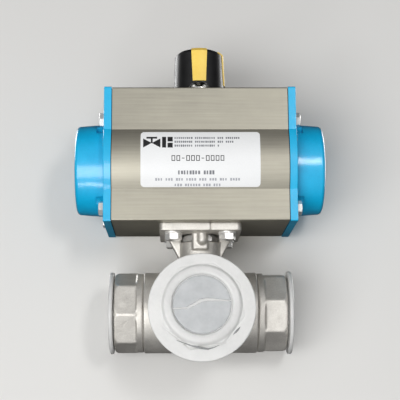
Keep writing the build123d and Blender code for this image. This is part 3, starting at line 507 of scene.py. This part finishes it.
def bead_mesh(name, path, level, ends, swell, tall):
    """A flat bead along a path on the front plug, from half width ends to ends + swell."""
    rows, sides = [], 10
    for i, (x, z) in enumerate(path):
        before, after = path[max(0, i - 1)], path[min(len(path) - 1, i + 1)]
        way = Vector((after[0] - before[0], after[1] - before[1])).normalized()
        half = ends + swell * math.sin(math.pi * i / (len(path) - 1)) ** 2
        ring = []
        for j in range(sides):
            angle = 2 * math.pi * j / sides
            off = half * math.cos(angle)
            ring.append(in_port("front", x - way.y * off, z + way.x * off,
                                level + tall * math.sin(angle)))
        rows.append(ring)
    return grid_mesh(name, rows)


def web_seam():
    """The raised weld line that wanders across the web."""
    path = [(-15.4, -2.1), (-11.4, -2.0), (-7.3, -1.7), (-4.2, -0.1), (-0.8, 1.9), (2.5, 2.5),
            (5.6, 2.4), (8.7, 2.2), (12.0, 2.0), (15.4, 1.9)]
    mesh = bead_mesh("branch_plug_seam", path, FRONT_WEB + 0.2, 0.3, 0.6, 0.35)
    piece("branch_plug_seam", mesh, POLYETHYLENE, "front_plug")


def paint_crease_shadows():
    """Dark grey strips in the creases over the octagon's lower edges, a painted shadow."""
    paths = {"low": [(-13.3, -18.4), (-9.3, -19.9), (-5.2, -21.2), (-1.2, -22.3), (2.9, -22.9),
                     (6.0, -22.2), (8.8, -20.9)],
             "side": [(15.9, -15.6), (17.2, -14.4), (18.5, -13.0), (19.6, -11.6)]}
    for name, path in paths.items():
        mesh = bead_mesh("branch_plug_crease_" + name, path, CREASE_SHADOW_LEVEL, 0.08, 0.5, 0.14)
        piece("branch_plug_crease_" + name, mesh, CREASE_PAINTED_SHADOW, "front_plug")


plug("left", 22.6, 2.1, 0.3, 0.7, (0, 0), 0.0, 0.3)
plug("right", 22.9, 2.2, 0.3, 1.1, (0, 0), 0.0, 0.3)
plug("front", 28.1, FRONT_THICK, 1.4, FRONT_GAP, (0, -1.4), 0.1, 0.35, octagon_imprint)
painted_web_shade()
web_seam()
paint_crease_shadows()


# ------------------------------------------------------------------ label print

# All in mm
LABEL_R = 32.8 + 0.15
LABEL_AXIS_Z = 81.5
INK_TOP, INK_UNDER = 0.012, -0.03
BAR_STEPS = 4


def on_label(x, z, lift=0.0):
    """A point on the label's curved face, from millimetres along and up."""
    radius = LABEL_R + lift
    rise = z - LABEL_AXIS_Z
    return Vector((x, -math.sqrt(radius ** 2 - rise ** 2), LABEL_AXIS_Z + rise * radius / LABEL_R)) * MM


def printed(name, strips, material):
    """Ink as a skin a hundredth of a millimetre proud. Each strip is rows of (z, left, right)."""
    mesh = bpy.data.meshes.new(name)
    points, faces = [], []
    for rows in strips:
        first = len(points)
        for z, a, b in rows:
            for lift in (INK_TOP, INK_UNDER):
                points += [on_label(a, z, lift), on_label(b, z, lift)]
        for i in range(len(rows) - 1):
            p, q = first + 4 * i, first + 4 * (i + 1)
            faces += [(p, p + 1, q + 1, q), (p + 2, q + 2, q + 3, p + 3),
                      (p, q, q + 2, p + 2), (p + 1, p + 3, q + 3, q + 1)]
        p, q = first, first + 4 * (len(rows) - 1)
        faces += [(p, p + 2, p + 3, p + 1), (q, q + 1, q + 3, q + 2)]
    mesh.from_pydata([tuple(p) for p in points], [], faces)
    turn_faces_out(mesh)
    obj = piece(name, mesh, material, "housing")
    for face in obj.data.polygons:
        face.use_smooth = False


def bar(x0, x1, z0, z1):
    """An upright rectangle, in rows that can follow the label's curve."""
    return [(z0 + (z1 - z0) * i / BAR_STEPS, x0, x1) for i in range(BAR_STEPS + 1)]


def placeholder_line(x0, x1, z, height, word_cells, cell, gap):
    """A line of plain ticks standing for words, with no letters in it."""
    strips, x, index = [], x0, 0
    while x < x1 - cell * 0.4:
        cells = word_cells[index % len(word_cells)]
        for i in range(cells):
            if x > x1 - cell * 0.4:
                break
            tall = height * (0.84 + 0.16 * random.random())
            wide = cell * (0.5 + 0.26 * random.random())
            strips.append(bar(x, x + wide, z - tall / 2, z + tall / 2))
            x += cell
        x += gap
        index += 1
    return strips


def box_line(x0, x1, z, height, pattern, stroke):
    """A line of empty boxes and dashes, a stand-in for a type number."""
    cell = (x1 - x0) / len(pattern)
    strips = []
    low, high = z - height / 2, z + height / 2
    for index, mark in enumerate(pattern):
        left = x0 + cell * index + cell * 0.1
        right = left + cell * 0.74
        if mark == "-":
            strips.append(bar(left + cell * 0.1, right - cell * 0.1,
                              z - stroke * 0.6, z + stroke * 0.4))
            continue
        strips += [bar(left, left + stroke, low, high), bar(right - stroke, right, low, high),
                   bar(left + stroke, right - stroke, low, low + stroke),
                   bar(left + stroke, right - stroke, high - stroke, high)]
    return strips


def emblem():
    """A bold valve symbol, two triangles with a stem, and three blocks beside it."""
    left, right, low, high = -31.2, -15.1, 86.9, 93.3
    middle_z, half_height, reach = low + 2.7, 2.7, 4.7
    x = left + reach
    strips = []
    for side in (-1, 1):
        for k in range(12):
            near, far = k / 12, (k + 1) / 12
            tall = half_height * (near + far) / 2
            a, b = x + side * reach * near, x + side * reach * far
            strips.append(bar(min(a, b), max(a, b), middle_z - tall, middle_z + tall))
    strips.append(bar(x - 0.5, x + 0.5, middle_z, high - 0.9))
    strips.append(bar(x - 2.9, x + 2.9, high - 1.1, high))
    strips.append(bar(x + reach + 0.9, x + reach + 3.1, low, high))
    strips.append(bar(x + reach + 3.9, right, low, low + 2.8))
    strips.append(bar(x + reach + 3.9, right, low + 3.6, high))
    return strips


printed("label_emblem", emblem(), DARK_INK)
address = []
for z, end in ((92.6, 21.5), (90.3, 18.0), (88.0, 10.0)):
    address += placeholder_line(-14.1, end, z, 1.25, (9, 10, 3), 1.12, 1.1)
printed("label_small_lines", address, GREY_INK)
printed("label_type_line", box_line(-16.0, 13.3, 80.95, 3.1, "oo-ooo-oooo", 0.42), DARK_INK)
printed("label_date_line", placeholder_line(-12.2, 9.4, 73.2, 2.2, (8, 4), 1.55, 1.5), GREY_INK)
footer = placeholder_line(-24.6, 22.3, 69.6, 1.4, (3, 3, 3, 4), 1.45, 1.25)
footer += placeholder_line(-14.1, 12.0, 66.75, 1.4, (3, 6, 3), 1.45, 1.25)
printed("label_footer", footer, PALE_INK)


# ------------------------------------------------------------------ stage, light, camera

def plane(name, centre, normal, size, material):
    """A one-sided square sheet."""
    obj = bpy.data.objects.new(name, bpy.data.meshes.new(name))
    half = size / 2
    turn = Vector(normal).to_track_quat("Z", "Y").to_matrix().to_4x4()
    corners = [Matrix.Translation(centre) @ turn @ Vector((x, y, 0)) for x, y in
               ((-half, -half), (half, -half), (half, half), (-half, half))]
    obj.data.from_pydata([tuple(c) for c in corners], [], [(0, 1, 2, 3)])
    obj.data.materials.append(material)
    bpy.context.scene.collection.objects.link(obj)
    return obj


def one_sided(name, colour, rough):
    """A pale sheet that is clear from behind, so that the part's back can be seen."""
    material = bpy.data.materials.new(name)
    material.use_nodes = True
    tree = material.node_tree
    shader = tree.nodes["Principled BSDF"]
    shader.inputs["Base Color"].default_value = colour
    shader.inputs["Roughness"].default_value = rough
    clear = tree.nodes.new("ShaderNodeBsdfTransparent")
    side = tree.nodes.new("ShaderNodeNewGeometry")
    choose = tree.nodes.new("ShaderNodeMixShader")
    tree.links.new(side.outputs["Backfacing"], choose.inputs["Fac"])
    tree.links.new(shader.outputs["BSDF"], choose.inputs[1])
    tree.links.new(clear.outputs["BSDF"], choose.inputs[2])
    tree.links.new(choose.outputs["Shader"], tree.nodes["Material Output"].inputs["Surface"])
    return material


# The floor passes behind the part, through the rims of the side plugs and the rear pad's lower edge
PALE_PAPER = linear(222, 221, 218)
FLOOR_SIZE = 6.0
rim_back = Vector((0, 22.95 * MM, 0))
pad_edge = Vector((0, 35.1 * MM, 60.5 * MM))
table_up = (pad_edge - rim_back).normalized()
table_normal = Vector((0, -table_up.z, table_up.y))
floor = plane("floor", rim_back + table_up * 0.02, table_normal, FLOOR_SIZE,
              one_sided("pale_floor", PALE_PAPER, 0.9))
floor.visible_glossy = False
floor.visible_diffuse = False
floor.visible_shadow = False
floor.visible_transmission = True


def soft_light(name, at, aim, width, height, power):
    """A plain white rectangular lamp, in metres and watts."""
    data = bpy.data.lights.new(name, "AREA")
    data.shape = "RECTANGLE"
    data.size, data.size_y = width, height
    data.energy = power
    obj = bpy.data.objects.new(name, data)
    obj.location = at
    obj.rotation_mode = "QUATERNION"
    obj.rotation_quaternion = (Vector(aim) - Vector(at)).to_track_quat("-Z", "Y")
    bpy.context.scene.collection.objects.link(obj)


soft_light("key", (-0.45, -1.1, -0.2), (0, 0, 0.03), 0.9, 0.6, 9.2)
soft_light("right_window", (0.38, -1.13, 0.33), (0.06, 0, 0.08), 0.16, 0.3, 2.6)
soft_light("low_window", (-0.24, -0.75, -0.69), (-0.06, 0, 0.08), 0.24, 0.09, 1.1)
soft_light("back_left", (-0.9, 0.95, 0.7), (0, 0, 0.03), 0.6, 0.6, 8)
soft_light("back_right", (0.9, 0.95, 0.5), (0, 0, 0.03), 0.6, 0.6, 7)

# A bright room in front of the part and a darker one behind it; the camera itself sees plain pale paper
world = bpy.data.worlds.new("studio")
world.use_nodes = True
bpy.context.scene.world = world
sky = world.node_tree
background = sky.nodes["Background"]
background.inputs["Color"].default_value = linear(236, 236, 238)
where = sky.nodes.new("ShaderNodeTexCoord")
facing = sky.nodes.new("ShaderNodeVectorMath")
facing.operation = "DOT_PRODUCT"
facing.inputs[1].default_value = (0.0, -0.995, -0.1)
sky.links.new(where.outputs["Generated"], facing.inputs[0])
level_of = sky.nodes.new("ShaderNodeMapRange")
level_of.interpolation_type = "SMOOTHSTEP"
level_of.inputs["From Min"].default_value = 0.0
level_of.inputs["From Max"].default_value = 0.85
level_of.inputs["To Min"].default_value = 0.04
level_of.inputs["To Max"].default_value = 0.5
sky.links.new(facing.outputs["Value"], level_of.inputs["Value"])
sky.links.new(level_of.outputs["Result"], background.inputs["Strength"])
seen = sky.nodes.new("ShaderNodeBackground")
seen.inputs["Color"].default_value = PALE_PAPER
path = sky.nodes.new("ShaderNodeLightPath")
choice = sky.nodes.new("ShaderNodeMixShader")
sky.links.new(path.outputs["Is Camera Ray"], choice.inputs["Fac"])
sky.links.new(background.outputs["Background"], choice.inputs[1])
sky.links.new(seen.outputs["Background"], choice.inputs[2])
sky.links.new(choice.outputs["Shader"], sky.nodes["World Output"].inputs["Surface"])

bpy.context.scene.view_settings.view_transform = "Standard"

# Camera: a long lens in front of the branch port, low and looking slightly up, with a small roll
CAMERA_AT = Vector((-13.3, -644.9, -58.5)) * MM
HEADING, RISE, ROLL = 0.021, 0.1877, -0.0059        # radians
LENS, SENSOR = 104.1, 36.0                          # mm
camera_data = bpy.data.cameras.new("camera")
camera_data.lens = LENS
camera_data.sensor_width = SENSOR
camera_data.clip_start = 0.05
camera_data.clip_end = 20.0
camera = bpy.data.objects.new("camera", camera_data)
bpy.context.scene.collection.objects.link(camera)
forward = Vector((math.sin(HEADING) * math.cos(RISE), math.cos(HEADING) * math.cos(RISE),
                  math.sin(RISE)))
level = Vector((math.cos(HEADING), -math.sin(HEADING), 0))
upward = level.cross(forward)
right = level * math.cos(ROLL) + upward * math.sin(ROLL)
upward = right.cross(forward)
turn = Matrix((right, upward, -forward)).transposed()
camera.matrix_world = Matrix.Translation(CAMERA_AT) @ turn.to_4x4()
bpy.context.scene.camera = camera
